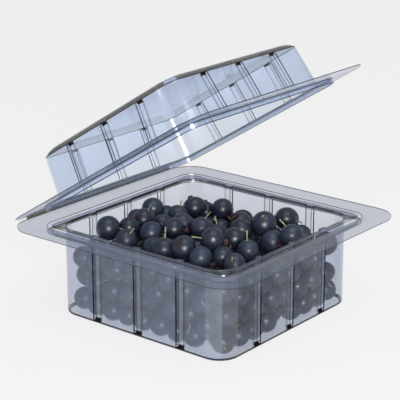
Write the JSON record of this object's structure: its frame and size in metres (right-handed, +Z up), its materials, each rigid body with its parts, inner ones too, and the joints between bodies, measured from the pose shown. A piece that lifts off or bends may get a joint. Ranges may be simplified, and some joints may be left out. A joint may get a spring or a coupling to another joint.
{
  "type": "hinged fruit clamshell with currants",
  "caption": "Square clear plastic clamshell with ribbed walls and wide flanges, its hinged lid part way open over a heap of dark currants.",
  "frame": {"origin": "middle of the tray's underside, on the surface that it stands on", "axes": "+Z up out of the tray, +X along the hinge, +Y towards the hinge"},
  "size_m": [0.14, 0.1402, 0.1294],
  "materials": {
    "clear_plastic": "clear, faintly blue, glossy",
    "currant_skin": "dark bloomed skin, soft sheen"
  },
  "bodies": {
    "base": {"tray": "clear_plastic", "currants": "currant_skin"},
    "lid": {"lid": "clear_plastic"}
  },
  "joints": [
    {"name": "lid_hinge", "type": "hinge", "parent": "base", "child": "lid", "pos_m": [0, 0.07074, 0.04595], "axis": [-1, 0, 0], "range_deg": [-32.08, 147.92]}
  ]
}
